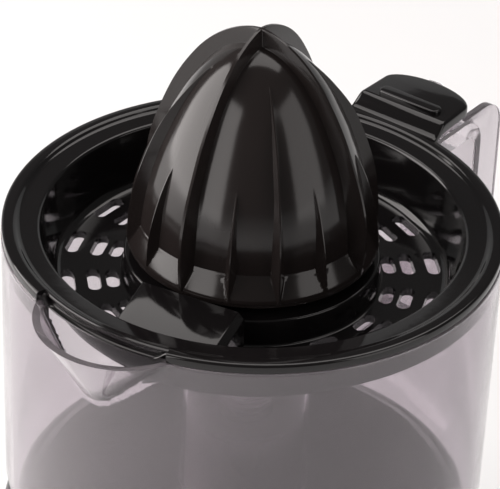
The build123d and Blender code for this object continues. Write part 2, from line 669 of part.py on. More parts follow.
def sector(angles, inner, outer, z0, z1):
    """Block of ring between two directions, to cut a curved notch."""
    middle = (angles[0] + angles[1]) / 2
    half = radians(angles[1] - angles[0]) / 2
    x, y = outer * 1.3 * cos(half), outer * 1.3 * sin(half)
    wedge = make_face(Polyline((0, 0), (x, -y), (x, y), close=True))
    cut = Pos(0, 0, z0) * (Rot(0, 0, middle) * extrude(wedge, z1 - z0))
    return cut & ring(outer, inner, z0, z1)


def strainer_bowl():
    wall, under = STRAINER_WALL, FLOOR_Z - STRAINER_FLOOR
    skirt_r = SKIRT_R
    ledge = RIM_Z - LEDGE_DROP
    return turned(
        (COLLAR_BORE, COLLAR_TOP - wall),
        (COLLAR_R - wall, COLLAR_TOP - wall),
        (COLLAR_R - wall, under),
        (DISH_R + 1.6, under),
        (DISH_R + 4.1, FLOOR_Z + 1),
        (DISH_R + 7, ledge),
        (skirt_r - SKIRT_T, ledge),
        (skirt_r - SKIRT_T, JUG_RIM_Z - SKIRT_DROP),
        (skirt_r, JUG_RIM_Z - SKIRT_DROP),
        (skirt_r, JUG_RIM_Z + SEAT),
        (RIM_R, JUG_RIM_Z + SEAT),
        (RIM_R, RIM_Z - 0.7),
        (RIM_R - 0.7, RIM_Z),
        (RIM_R - 3.3, RIM_Z),
        (RIM_R - 5.3, RIM_Z - 1.1),
        (DISH_R + 5.4, RIM_Z - 1.3),
        (DISH_R + 3, RIM_Z - 9),
        (DISH_R + 1.2, FLOOR_Z + 1.2),
        (DISH_R, FLOOR_Z),
        (COLLAR_R, FLOOR_Z),
        (COLLAR_R, COLLAR_TOP - 0.6),
        (COLLAR_R - 0.6, COLLAR_TOP),
        (COLLAR_BORE, COLLAR_TOP),
    )


def strainer_bridge():
    """Hollow bridge over the floor, cut back round the cone; returns the block and its hollow."""
    wall, under = STRAINER_WALL, FLOOR_Z - STRAINER_FLOOR

    def wedge(inner, outer, half_width, foot, top):
        """Block along the bridge whose top falls outwards."""
        side = Polyline((inner, foot), (outer, foot), (outer, top - BRIDGE_FALL), (inner, top), close=True)
        return extrude(Plane.XZ * make_face(side), half_width, both=True)

    bridge = wedge(COLLAR_R - 1, DISH_R + 3.6, BRIDGE_HALF_W, under, BRIDGE_TOP)
    bridge -= disc(CONE_R + AIR, COLLAR_TOP, BRIDGE_TOP + 1)
    hollow = wedge(COLLAR_R + 2, DISH_R - 0.4, BRIDGE_HALF_W - wall, under - 1, BRIDGE_TOP - wall)
    turn = Rot(0, 0, BRIDGE_ANGLE)
    return turn * bridge, turn * hollow


def rim_notch():
    """What is cut from the rim and skirt above the spout; returns it and the lip left in it."""
    outer, skirt_foot = RIM_R + 2, JUG_RIM_Z - SKIRT_DROP - 1
    cut = sector(NOTCH, SKIRT_R - NOTCH_IN, outer, RIM_Z - LEDGE_DROP, RIM_Z + 1)
    cut += sector(NOTCH, SKIRT_R - SKIRT_T - 0.1, outer, skirt_foot, RIM_Z - LEDGE_DROP)
    ends = (NOTCH[0] + LIP_ENDS, NOTCH[1] - LIP_ENDS)
    lip = sector(ends, SKIRT_R - 3, RIM_R - LIP_IN, RIM_Z - LIP_FOOT, RIM_Z - LIP_TOP)
    return cut, lip


def thumb_tab():
    """Tab that is open underneath, on a short web up from the rim, with a grip bar across it."""
    tab = tab_plate(0, TAB_FOOT, TAB_TOP)
    tab -= tab_plate(STRAINER_WALL, TAB_FOOT - 1, TAB_TOP - STRAINER_WALL)
    tab -= disc(RIM_R - 5.5, TAB_FOOT - 1, TAB_TOP + 1)
    tab += tab_plate(1, RIM_Z - 1, TAB_FOOT + 1) & ring(RIM_R, RIM_R - 4, RIM_Z - 1, TAB_FOOT + 1)
    bar = (-GRIP_HALF_W, GRIP_HALF_W, RIM_R + GRIP_IN, RIM_R + GRIP_OUT)
    return tab + block(*bar, TAB_TOP - 0.5, TAB_TOP + GRIP_H)


def strainer():
    bridge, hollow = strainer_bridge()
    bowl = strainer_bowl() + bridge - hollow
    under_bridge = 20
    for row in range(SLOT_ROWS):
        angle = 360 / SLOT_ROWS * row
        if abs((angle - BRIDGE_ANGLE + 180) % 360 - 180) < under_bridge:
            continue
        for radius, length in SLOT_RINGS:
            slot = extrude(SlotOverall(length, SLOT_W, rotation=90), 2 * STRAINER_FLOOR)
            bowl -= Rot(0, 0, angle) * Pos(radius, 0, FLOOR_Z - STRAINER_FLOOR - 1) * slot
    notch, lip = rim_notch()
    return bowl - notch + lip + thumb_tab()


# ---- reamers --------------------------------------------------------------------------
def on_cone(outline):
    """Radius and height points of an outline given as shares of the cone's size."""
    return [(r * CONE_R, CONE_Z + h * CONE_H) for r, h in outline]


def blade(crest, thickness, angle):
    """One rib: a plate from the axis out to its crest, turned to its place."""
    foot_z = crest[0][1]
    face = make_face(Polyline((0, foot_z), *crest, (0, crest[-1][1]), close=True))
    return Rot(0, 0, angle) * extrude(Plane.XZ * face, thickness / 2, both=True)


def large_reamer():
    outside = on_cone(CONE_BODY)
    body = turned((0, CONE_Z), *outside, (0, outside[-1][1] + 0.2))
    for quarter in range(4):
        turn = RIB_TURN + 90 * quarter
        body += blade(on_cone(TALL_CREST), TALL_T, turn)
        body += blade(on_cone(MEDIUM_CREST), MEDIUM_T, turn + 45)
        for side in (-22.5, 22.5):
            body += blade(on_cone(SHORT_CREST), SHORT_T, turn + 45 + side)
    inside = [(r - REAMER_WALL, z - 1) for r, z in outside[:-1]]
    body -= turned((0, CONE_Z - 1), *inside, (0, outside[-1][1] - REAMER_WALL))
    for turn in (0, 180):
        half = LUG_W / 2
        lug = block(LUG_IN, CONE_R - LUG_OUTER, -half, half, CONE_Z + 0.6, CONE_Z + LUG_H)
        body += Rot(0, 0, turn) * lug
    return body


def small_reamer():
    foot_z, outside = CONE_Z - FLANGE_T, on_cone(SMALL_BODY)
    foot_r, tip_z = outside[0][0], outside[-1][1]
    flange_r, flange_top = CONE_R - FLANGE_IN, CONE_Z - 0.2
    body = turned((0, foot_z), (flange_r, foot_z), (flange_r, flange_top), (foot_r + 1, flange_top),
                  *outside, (0, tip_z + 0.1))
    crest = [(r + SMALL_CREST, z) for r, z in outside[1:-1]] + [(1, tip_z + 1.5)]
    for rib in range(8):
        body += blade(crest, SMALL_T, 45 * rib)
    inside = [(r - REAMER_WALL, z - 1.2) for r, z in outside[:-1]]
    inner_r = inside[0][0]
    body -= turned((0, foot_z - 1), (inner_r, foot_z - 1), *inside, (0, tip_z - REAMER_WALL - 1))
    body += disc(SOCKET_R, foot_z, tip_z - REAMER_WALL - 1.5)
    body -= hexagon(DRIVE_AF + 2 * HEX_SLIP, foot_z - 1, SHAFT_TOP + 0.6)
    for web in range(4):
        arm = block(SOCKET_R - 1, foot_r - 1.5, -WEB_T / 2, WEB_T / 2, foot_z, CONE_Z + WEB_H)
        body += Rot(0, 0, 45 + 90 * web) * arm
    for turn in (0, 180):
        for side in (-1, 1):
            near = LUG_W / 2 + LUG_SLIP
            y0, y1 = sorted((side * near, side * (near + KEY_POST_T)))
            post = block(LUG_IN + 1, LUG_IN + 5, y0, y1, CONE_Z - 0.5, CONE_Z + KEY_POST_H)
            body += Rot(0, 0, turn) * post
    return body


# ---- write every piece ----------------------------------------------------------------
NODES = {
    "base_housing": base_housing(),
    "bottom_cover": bottom_cover(),
    "cord_grommet": cord_grommet(),
    "spindle_seal": spindle_seal(),
    "tower_bush": tower_bush(),
    "gear_plate": gear_plate(),
    "gear_cover": gear_cover(),
    "idler_axle": idler_axle(),
    "idler_gear": idler_gear(),
    "output_gear": output_gear(),
    "motor_pinion": motor_pinion(),
    "rotor_shaft": rotor_shaft(),
    "rotor_core": rotor_core(),
    "stator_core": stator_core(),
    "stator_coil": stator_coil(),
    "motor_bracket": motor_bracket(),
    "thrust_cup": thrust_cup(),
    "return_spring": return_spring(),
    "micro_switch": micro_switch(),
    "switch_bracket": switch_bracket(),
    "switch_plunger": switch_plunger(),
    "spindle": spindle(),
    "jug_shaft": jug_shaft(),
    "shaft_clip": shaft_clip(),
    "jug_bush": jug_bush(),
    "jug": jug(),
    "strainer": strainer(),
    "small_reamer": small_reamer(),
    "large_reamer": large_reamer(),
}
for number, place in enumerate(FEET):
    NODES[f"foot_{number}"] = foot(place)
for number, place in enumerate(COVER_BOSSES):
    NODES[f"cover_screw_{number}"] = screw(place, FOOT_H + HEAD_SUNK, COVER_SCREW)
for number, place in enumerate(CHASSIS_BOSSES):
    NODES[f"plate_screw_{number}"] = screw(place, PLATE_Z, PLATE_SCREW)
for number, place in enumerate(COVER_POSTS):
    NODES[f"gear_cover_screw_{number}"] = screw(place, COVER_Z + COVER_T, GEAR_COVER_SCREW, points_up=False)
for number, place in enumerate(STACK_SCREWS):
    NODES[f"motor_screw_{number}"] = screw(place, BRACKET_Z, MOTOR_SCREW)

os.makedirs("parts", exist_ok=True)
for name, shape in NODES.items():
    export_step(shape, f"parts/{name}.step")
    print(name, len(shape.solids()), round(shape.volume))
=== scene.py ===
"""Citrus press juicer: surfaces, finishes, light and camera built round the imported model."""

import json
from math import asin, atan2, cos, hypot, pi, radians, sin, sqrt

import bmesh
import bpy
from mathutils import Matrix, Vector


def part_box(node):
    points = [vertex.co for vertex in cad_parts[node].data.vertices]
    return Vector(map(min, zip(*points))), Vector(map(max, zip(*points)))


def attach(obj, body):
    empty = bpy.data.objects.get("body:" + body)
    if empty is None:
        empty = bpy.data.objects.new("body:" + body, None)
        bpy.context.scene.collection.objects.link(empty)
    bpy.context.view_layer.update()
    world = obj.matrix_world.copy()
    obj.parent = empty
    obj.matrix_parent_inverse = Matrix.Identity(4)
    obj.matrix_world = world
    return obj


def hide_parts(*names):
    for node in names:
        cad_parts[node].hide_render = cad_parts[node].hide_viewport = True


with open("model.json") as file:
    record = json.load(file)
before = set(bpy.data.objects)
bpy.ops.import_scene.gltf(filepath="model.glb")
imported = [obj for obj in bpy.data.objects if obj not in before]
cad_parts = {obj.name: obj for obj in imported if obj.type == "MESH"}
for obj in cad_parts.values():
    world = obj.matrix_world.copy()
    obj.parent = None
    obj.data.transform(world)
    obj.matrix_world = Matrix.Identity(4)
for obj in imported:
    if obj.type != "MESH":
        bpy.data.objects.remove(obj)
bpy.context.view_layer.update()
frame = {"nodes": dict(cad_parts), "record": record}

# ---- floor, light and camera ---------------------------------------------------------------
# A pale seamless table under broad soft boxes on both sides, with a darker gap behind the
# camera, as small appliances are lit. The camera looks down over the spout from the right.

MM = 0.001
CONE_DROP = 5.0  # foot of the large reamer below the strainer's rim, in millimetres
rim_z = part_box("large_reamer")[0].z / MM + CONE_DROP  # top of the strainer's rim
camera_turn = radians(35.7)  # from the spout's direction to the camera's


class Field:
    """A number that varies over a surface. Sums written on it become Math nodes."""

    def __init__(self, finish, socket):
        self.finish, self.socket = finish, socket

    def maths(self, operation, *others):
        sockets = dict(enumerate((self, *others)))
        return self.finish.node("ShaderNodeMath", {"operation": operation}, sockets)

    def __add__(self, other):
        return self.maths("ADD", other)

    def __sub__(self, other):
        return self.maths("SUBTRACT", other)

    def __mul__(self, other):
        return self.maths("MULTIPLY", other)

    def __rsub__(self, other):
        return (self * -1) + other

    __radd__ = __add__
    __rmul__ = __mul__


class Finish:
    """A material on one Principled surface, with a call that adds any other node."""

    def __init__(self, name, **constants):
        self.material = bpy.data.materials.new(name)
        self.material.use_nodes = True
        self.tree = self.material.node_tree
        self.surface = self.tree.nodes["Principled BSDF"]
        for socket, value in constants.items():
            self.surface.inputs[socket.replace("_", " ")].default_value = value

    def node(self, kind, settings=None, sockets=None, out=0):
        node = self.tree.nodes.new(kind)
        for name, value in (settings or {}).items():
            if name == "stops":
                for index, (place, colour) in enumerate(value):
                    stops = node.color_ramp.elements
                    stop = stops[index] if index < 2 else stops.new(place)
                    stop.position, stop.color = place, colour
            else:
                setattr(node, name, value)
        for key, value in (sockets or {}).items():
            if isinstance(value, Field):
                self.tree.links.new(value.socket, node.inputs[key])
            else:
                node.inputs[key].default_value = value
        return Field(self, node.outputs[out])

    def feed(self, socket, field):
        self.tree.links.new(field.socket, self.surface.inputs[socket])

    def here(self, scale=(1, 1, 1)):
        """Place on the piece, in metres, stretched by scale."""
        place = self.node("ShaderNodeTexCoord", out=3)
        return self.node("ShaderNodeMapping", None, {"Vector": place, "Scale": scale})

    def noise(self, size, detail=3.0, scale=(1, 1, 1)):
        """Soft cloudy pattern whose patches are about size metres across."""
        sockets = {"Vector": self.here(scale), "Scale": 1 / size, "Detail": detail}
        return self.node("ShaderNodeTexNoise", {"noise_dimensions": "3D"}, sockets)

    def stripes(self, direction):
        """Even ridges a few tenths of a millimetre wide, as layered sheets or wire turns lie."""
        sockets = {"Vector": self.here(), "Scale": 320.0}
        return self.node("ShaderNodeTexWave", {"bands_direction": direction}, sockets)

    def tinted(self, first, last, field):
        """Base colour that runs from first to last with the field."""
        settings = {"stops": [(0, (*first, 1)), (1, (*last, 1))]}
        self.feed("Base Color", self.node("ShaderNodeValToRGB", settings, {0: field}))

    def bumped(self, field, height):
        """Relief that stands height metres proud where the field is one."""
        sockets = {"Height": field, "Distance": height, "Strength": 1.0}
        self.feed("Normal", self.node("ShaderNodeBump", None, sockets))


def floor_finish():
    """White table paper, lit a little from below so that its far end stays as bright."""
    glow = {"Emission_Color": (1, 1, 1, 1), "Emission_Strength": 0.28}
    finish = Finish("pale_table", Roughness=0.6, **glow)
    finish.tinted((0.60, 0.60, 0.605), (0.64, 0.64, 0.64), finish.noise(0.35))
    return finish.material


def corners_of(geometry):
    return [part for part in geometry if isinstance(part, bmesh.types.BMVert)]


def pale_floor():
    """Table top that curves up into a backdrop on the far side."""
    half_width, cove, back_rise = 4.0, 0.4, 2.2
    bm = bmesh.new()
    rim = [bm.verts.new((x, -half_width, 0)) for x in (-half_width, half_width)]
    edge = bm.edges.new(rim)
    for step in ((0, 2 * half_width, 0), (0, cove, cove), (0, 0.1, back_rise)):
        grown = bmesh.ops.extrude_edge_only(bm, edges=[edge])["geom"]
        bmesh.ops.translate(bm, vec=step, verts=corners_of(grown))
        edge = next(part for part in grown if isinstance(part, bmesh.types.BMEdge))
    turn = Matrix.Rotation(radians(36), 3, "Z")
    bmesh.ops.rotate(bm, cent=(0, 0, 0), matrix=turn, verts=bm.verts)
    bmesh.ops.recalc_face_normals(bm, faces=bm.faces)
    mesh = bpy.data.meshes.new("floor")
    bm.to_mesh(mesh)
    mesh.materials.append(floor_finish())
    floor = bpy.data.objects.new("floor", mesh)
    bpy.context.scene.collection.objects.link(floor)


def soft_box(name, round_from_lens, lift, distance, width, height, radiance):
    """Warm box aimed at the jug; its direction is counted from the camera's, to the right."""
    light = bpy.data.lights.new(name, "AREA")
    light.shape, light.size, light.size_y = "RECTANGLE", width, height
    light.color = (1.0, 0.95, 0.93)
    light.energy = radiance * pi * width * height
    turn, up = camera_turn + radians(round_from_lens), radians(lift)
    way = Vector((sin(turn) * cos(up), -cos(turn) * cos(up), sin(up)))
    lamp = bpy.data.objects.new(name, light)
    aim = Matrix.Translation(Vector((0, 0, rim_z * MM)) + way * distance)
    lamp.matrix_world = aim @ way.to_track_quat("Z", "Y").to_matrix().to_4x4()
    bpy.context.scene.collection.objects.link(lamp)


def studio():
    """Four soft boxes in a dim warm room."""
    world = bpy.data.worlds.new("studio")
    bpy.context.scene.world = world
    world.use_nodes = True
    room = world.node_tree.nodes["Background"].inputs
    room["Color"].default_value = (1.0, 0.98, 0.965, 1)
    room["Strength"].default_value = 0.12
    soft_box("left_box", -92, 20, 1.5, 1.5, 1.5, 5.2)
    soft_box("front_left_box", -42, 17, 1.6, 0.62, 1.5, 3.2)
    soft_box("right_box", 60, 17, 1.6, 1.0, 1.5, 1.6)
    soft_box("top_box", 178, 67, 1.5, 1.7, 1.1, 2.6)
    bpy.context.scene.view_settings.view_transform = "Standard"


def product_camera():
    """Long lens 888 mm from the axis at the rim, 32.8 degrees up, leaning 2.4 degrees."""
    lift, lean, distance = radians(32.8), radians(2.42), 0.888
    turn = camera_turn
    back = Vector((sin(turn) * cos(lift), -cos(turn) * cos(lift), sin(lift)))
    right = Vector((cos(turn), sin(turn), 0))
    up = back.cross(right)
    level_right = cos(lean) * right + sin(lean) * up
    level_up = cos(lean) * up - sin(lean) * right
    camera = bpy.data.cameras.new("camera")
    camera.lens, camera.sensor_width = 217.3, 36.0
    camera.shift_x, camera.shift_y = -0.007, -0.05
    view = bpy.data.objects.new("camera", camera)
    axes = Matrix((level_right, level_up, back)).transposed().to_4x4()
    view.matrix_world = Matrix.Translation(Vector((0, 0, rim_z * MM)) + back * distance) @ axes
    bpy.context.scene.collection.objects.link(view)
    bpy.context.scene.camera = view


pale_floor()
studio()
product_camera()

# ---- finishes of the carried-over pieces -----------------------------------------------------
# Moulded plastics carry a faint flow ripple and uneven gloss from the tool; turned and rolled
# steel has fine marks along the way it was cut; the winding is enamelled copper wire.


def moulded(name, colour, gloss, ripple=0.00002, uneven=0.05):
    """Plastic as it leaves the tool: ripple is in metres, uneven is how far its gloss wanders."""
    finish = Finish(name, IOR=1.44)
    cloud = finish.noise(0.045, 4.0)
    darker = [0.75 * value for value in colour]
    lighter = [min(1.0, 1.2 * value + 0.001) for value in colour]
    finish.tinted(darker, lighter, cloud)
    handled = finish.noise(0.012, 5.0)
    finish.feed("Roughness", cloud * uneven + handled * (0.6 * uneven) + (gloss - 0.8 * uneven))
    finish.bumped(finish.noise(0.006, 2.0), ripple)
    return finish.material


def turned_metal(name, colour, gloss, scratch=(1, 1, 60)):
    """Bare metal whose marks are drawn out along the directions with the lower scratch."""
    finish = Finish(name, Metallic=1.0)
    marks = finish.noise(0.02, 6.0, scratch)
    darker = [0.8 * value for value in colour]
    finish.tinted(darker, colour, marks)
    finish.feed("Roughness", marks * 0.2 + (gloss - 0.1))
    finish.bumped(marks, 0.00002)
    return finish.material


def wound_copper():
    finish = Finish("enamelled_copper", Metallic=0.9, Coat_Weight=0.6)
    turns = finish.stripes("Y")
    finish.tinted((0.20, 0.06, 0.02), (0.62, 0.26, 0.10), turns)
    finish.feed("Roughness", turns * -0.15 + 0.4)
    finish.bumped(turns, 0.0002)
    return finish.material


def stacked_steel():
    finish = Finish("lamination_stack", Metallic=0.85)
    sheets = finish.stripes("Z")
    finish.tinted((0.10, 0.10, 0.11), (0.33, 0.33, 0.35), sheets)
    finish.feed("Roughness", sheets * -0.12 + 0.5)
    finish.bumped(sheets, 0.0001)
    return finish.material


def grained_black(name, grain_size, lighter, gloss, depth):
    """Matt black: moulded rubber, or plastic from a spark-eroded tool."""
    finish = Finish(name, IOR=1.5)
    grain = finish.noise(grain_size, 3.0)
    finish.tinted((0.012, 0.012, 0.013), lighter, grain)
    finish.feed("Roughness", grain * 0.2 + gloss)
    finish.bumped(grain, depth)
    return finish.material


housing_black = moulded("housing_black", (0.012, 0.0115, 0.012), 0.17)
strainer_black = moulded("strainer_black", (0.006, 0.0052, 0.0055), 0.085, uneven=0.03)
reamer_black = moulded("reamer_black", (0.014, 0.011, 0.0105), 0.14, ripple=0.000012)
FINISHES = {
    "black_housing": housing_black,
    "black_cover": grained_black("textured_black", 0.0007, (0.03, 0.03, 0.031), 0.45, 0.00008),
    "black_strainer": strainer_black,
    "black_reamer": reamer_black,
    "rubber": grained_black("rubber", 0.0012, (0.035, 0.034, 0.034), 0.62, 0.00012),
    "steel": turned_metal("bright_steel", (0.62, 0.62, 0.63), 0.26),
    "zinc_screw": turned_metal("zinc_plate", (0.56, 0.55, 0.50), 0.36, scratch=(8, 8, 8)),
    "lamination": stacked_steel(),
    "copper": wound_copper(),
    "bronze": turned_metal("sintered_bronze", (0.52, 0.33, 0.16), 0.42, scratch=(20, 20, 20)),
    "white_acetal": moulded("natural_acetal", (0.78, 0.77, 0.71), 0.42),
    "grey_nylon": moulded("filled_nylon", (0.17, 0.175, 0.18), 0.5, ripple=0.00006),
    "switch_red": moulded("phenolic_red", (0.33, 0.025, 0.02), 0.4),
}
node_slots = {row["node"]: row["material_slot"] for row in frame["record"]["subparts"]}
for node, piece in frame["nodes"].items():
    slot = node_slots.get(node)
    if slot in FINISHES:
        piece.data.materials.clear()
        piece.data.materials.append(FINISHES[slot])

# ---- motor base ------------------------------------------------------------------------------
# One deep ABS moulding: a flared drum with a soft shoulder, a flat platform for the jug with two
# locating pips, and a tower that stands in the jug's column and guides the spindle.


SPIN_AXIS = (0, 0, 1)
WELD = 0.002 * MM
ROUNDING = {"offset_type": "OFFSET", "profile": 0.5, "material": -1}


def in_metres(values):
    return [value * MM for value in values]


def rounded_wire(points, radii, segments):
    """Closed wire through points in millimetres, with each corner rounded by its radius."""
    bm = bmesh.new()
    corners = [bm.verts.new(in_metres(point)) for point in points]
    for first, second in zip(corners, corners[1:] + corners[:1]):
        bm.edges.new((first, second))
    for corner, radius in zip(corners, radii):
        if radius:
            bmesh.ops.bevel(bm, geom=[corner], offset=radius * MM, affect="VERTICES",
                            segments=segments, **ROUNDING)
    return bm


def half_section(points, radii):
    """Wire of (radius, height) points, which spun turns into a round piece."""
    return rounded_wire([(r, 0, z) for r, z in points], radii, 5)


def closed_up(bm):
    """Welds what meets, and turns every face outwards."""
    bmesh.ops.remove_doubles(bm, verts=bm.verts, dist=WELD)
    bmesh.ops.recalc_face_normals(bm, faces=bm.faces)


def spun(bm, steps):
    """The wire turned once round the upright axis."""
    bmesh.ops.spin(bm, geom=bm.verts[:] + bm.edges[:], axis=SPIN_AXIS, cent=(0, 0, 0),
                   steps=steps, angle=2 * pi, use_merge=True)
    closed_up(bm)


def as_piece(bm, name, material, crease=35):
    """Object with smooth faces, but for edges that fold by more than crease degrees."""
    for face in bm.faces:
        face.smooth = True
    mesh = bpy.data.meshes.new(name)
    bm.to_mesh(mesh)
    bm.free()
    mesh.set_sharp_from_angle(angle=radians(crease))
    mesh.materials.append(material)
    piece = bpy.data.objects.new(name, mesh)
    bpy.context.scene.collection.objects.link(piece)
    return piece


def motor_base():
    low, high = (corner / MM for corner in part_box("base_housing"))
    widest, foot, tower_top = high.x, low.z, high.z
    tower_h, tower_r, platform_r, wall = 30, 17.5, 62.5, 2.6
    sleeve_h, sleeve_wall, seal_h = 36, 3, 2  # round the bush, and the seal above it
    bush_r, seal_r = (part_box(node)[1].x / MM for node in ("tower_bush", "spindle_seal"))
    platform, sleeve_foot = tower_top - tower_h, tower_top - sleeve_h
    sleeve_r, seal_seat = bush_r + sleeve_wall, tower_top - seal_h
    outline = [
        (widest - 1.6, foot), (widest, foot + 7), (widest - 0.9, platform - 40),
        (widest - 2.8, platform - 6), (platform_r + 5, platform - 3.6), (platform_r, platform),
        (tower_r, platform), (tower_r, tower_top), (seal_r, tower_top), (seal_r, seal_seat),
        (bush_r, seal_seat), (bush_r, sleeve_foot), (sleeve_r, sleeve_foot),
        (sleeve_r, seal_seat - wall), (tower_r - wall, seal_seat - wall),
        (tower_r - wall, platform - wall), (platform_r - 2, platform - wall),
        (widest - 5.6, platform - 9), (widest - 3.5, platform - 40), (widest - 2.6, foot + 7),
        (widest - 4.0, foot),
    ]
    radii = [0.6, 5, 30, 7, 2.5, 1.6, 0.8, 1.4, 0.3, 0, 0, 0, 0, 0, 1, 1, 1, 3, 8, 2, 0.4]
    bm = half_section(outline, radii)
    spun(bm, 192)
    pip_x, pip_r, pip_top_r, pip_h = 50, 3, 2.7, 2
    for side in (-1, 1):
        pip = bmesh.ops.create_cone(bm, cap_ends=True, segments=32, radius1=pip_r * MM,
                                    radius2=pip_top_r * MM, depth=pip_h * MM)
        bmesh.ops.translate(bm, vec=in_metres((side * pip_x, 0, platform)), verts=pip["verts"])
    housing = as_piece(bm, "motor_housing", housing_black)
    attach(housing, "base")
    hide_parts("base_housing")


motor_base()

# ---- jug -------------------------------------------------------------------------------------
# A single clear SAN moulding with a violet cast, thickest in colour along its edges: a round
# body with a drawn beak, a centre column over the drive, and a channelled handle at the back.


def violet_san():
    finish = Finish("clear_violet_san", IOR=1.42, Transmission_Weight=0.91)
    cloud = finish.noise(0.05, 3.0)
    finish.tinted((0.66, 0.615, 0.65), (0.74, 0.70, 0.735), cloud)
    finish.feed("Roughness", finish.noise(0.01, 4.0) * 0.03 + 0.02)
    finish.bumped(finish.noise(0.03, 1.0), 0.00012)
    return finish.material


clear_violet = violet_san()
jug_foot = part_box("jug")[0].z / MM
jug_rim = rim_z - 3.0  # the strainer's rim stands on it
jug_wall = 2.2


def beak_reach(angle, height, inset):
    """Distance from the axis to the beak's wall in one direction, or nought clear of it."""
    mouth_r, tip_r, reach, tip_at, drop = 26.1, 6.5, 86.0, 66.5, 23.0
    share = min(1.0, max(0.0, (jug_rim - height) / drop))
    radius = mouth_r + (tip_r - mouth_r) * share - inset
    centre = (reach - mouth_r) + (tip_at - (reach - mouth_r)) * share
    under = radius**2 - (centre * sin(angle)) ** 2
    if under <= 0 or cos(angle) <= 0 or height < jug_rim - drop:
        return 0.0
    return centre * cos(angle) + sqrt(under)


def blended_max(first, second, soft):
    """The larger of two lengths, with the change between them rounded off."""
    return (first + second + sqrt((first - second) ** 2 + soft**2)) / 2


def jug_body():
    """Round body and column, with the wall over the front drawn out into the beak."""
    top_r, foot_r, floor = 74.2, 73.3, 2.4
    column_in, column_r, draft, column_top, bush_r = 17.9, 19.7, 0.3, rim_z - 24.0, 8.0
    floor_top, roof_under = jug_foot + floor, column_top - floor
    outline = [
        (column_in, jug_foot), (foot_r, jug_foot), (top_r, jug_rim), (top_r - jug_wall, jug_rim),
        (foot_r - jug_wall, floor_top), (column_r, floor_top), (column_r - draft, column_top),
        (bush_r, column_top), (bush_r, roof_under), (column_in - draft, roof_under),
    ]
    radii = [0.3, 9.8, 0.9, 0.9, 7.8, 2.2, 1.6, 0.4, 0.4, 1.2]
    bm = half_section(outline, radii)
    walls = [
        edge for edge in bm.edges
        if min(vert.co.x for vert in edge.verts) > 70 * MM and edge.calc_length() > 40 * MM
    ]
    bmesh.ops.subdivide_edges(bm, edges=walls, cuts=72)
    spun(bm, 288)
    for vert in bm.verts:
        radius, height = hypot(vert.co.x, vert.co.y) / MM, vert.co.z / MM
        if radius < 60 or vert.co.y > 0:
            continue
        inner = radius < top_r - 1.6 - (jug_rim - height) * 0.01
        angle = Vector((vert.co.x, vert.co.y)).angle_signed(Vector((0, -1)))
        reach = beak_reach(angle, height, jug_wall if inner else 0)
        if reach > radius - 2.5:
            grown = blended_max(radius, reach, 0.5) - (0.25 if reach < radius else 0)
            vert.co.x *= max(1, grown / radius)
            vert.co.y *= max(1, grown / radius)
    return as_piece(bm, "jug_body", clear_violet, 50)


def applied(piece):
    """Bakes the live modifiers into the piece's own mesh."""
    view = bpy.context.evaluated_depsgraph_get()
    view.update()
    mesh = bpy.data.meshes.new_from_object(piece.evaluated_get(view))
    piece.modifiers.clear()
    piece.data = mesh
    return piece


def cut_with(piece, cutter, operation="DIFFERENCE"):
    step = piece.modifiers.new("cut", "BOOLEAN")
    step.operation, step.object, step.solver = operation, cutter, "EXACT"
    applied(piece)
    bpy.data.objects.remove(cutter)


def thickened(bm, face, step):
    """Draws a face out by a step in millimetres, and returns the corners of its far side."""
    grown = bmesh.ops.extrude_face_region(bm, geom=[face])["geom"]
    far_side = corners_of(grown)
    bmesh.ops.translate(bm, vec=in_metres(step), verts=far_side)
    return far_side


def upright_plate(name, side, radii, half_width, material):
    """Side view of (distance from the axis, height) points, given width across the jug."""
    bm = rounded_wire([(-half_width, y, z) for y, z in side], radii, 8)
    face = bmesh.ops.contextual_create(bm, geom=bm.edges[:])["faces"][0]
    thickened(bm, face, (2 * half_width, 0, 0))
    bmesh.ops.recalc_face_normals(bm, faces=bm.faces)
    return as_piece(bm, name, material, 30)


HANDLE_ROOT = 73.2  # just inside the jug's outer wall


def handle_side(grown):
    """The handle seen from the side, grown outwards all round but at its root."""
    top, reach, foot = rim_z - 5.4 + grown, 117.0 + grown, jug_foot + 11 - grown
    return [
        (HANDLE_ROOT, top), (reach, top), (reach, jug_foot + 33), (HANDLE_ROOT + 29, foot),
        (HANDLE_ROOT, foot),
    ]


def finger_gap_side(root, grown):
    """The gap for the fingers, grown all round but at its root."""
    top, reach, foot = rim_z - 13.0 + grown, 103.0 + grown, jug_foot + 33 - grown
    return [
        (root, top), (reach, top), (reach, jug_foot + 36), (HANDLE_ROOT + 8, foot), (root, foot),
    ]


def jug_handle():
    """Two cheeks joined by a web that runs round the finger gap, open to the outside."""
    half, cheek, band, crease = 12.0, 2.6, 4.5, radians(40)
    handle, channel, web, gap = (
        upright_plate(name, side, radii, width, clear_violet)
        for name, side, radii, width in (
            ("jug_handle", handle_side(0), [0.4, 10, 22, 9, 0.4], half),
            ("channel", handle_side(2), [0.4, 12, 24, 11, 0.4], half - cheek),
            ("web", finger_gap_side(HANDLE_ROOT, band), [0.4, 10, 16, 8, 0.4], half - cheek + 0.5),
            ("gap", finger_gap_side(HANDLE_ROOT - 3, 0), [0.5, 6, 12, 6, 0.5], half + 4),
        )
    )
    cut_with(handle, channel)
    cut_with(handle, web, "UNION")
    cut_with(handle, gap)
    soft = handle.modifiers.new("soft_edges", "BEVEL")
    soft.width, soft.segments, soft.limit_method, soft.angle_limit = 0.9 * MM, 3, "ANGLE", crease
    applied(handle)
    handle.data.shade_smooth()
    handle.data.set_sharp_from_angle(angle=crease)
    return handle


body, handle = jug_body(), jug_handle()
for piece in (body, handle):
    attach(piece, "jug")
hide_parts("jug")

# ---- strainer --------------------------------------------------------------------------------
# High-gloss black SAN bowl that hangs in the jug by its rim: a stepped rim, a dished wall, a
# flat floor with three rings of slots, a raised collar under the reamer, a bridge beside the
# spout, and a thumb tab that reaches out over the handle.


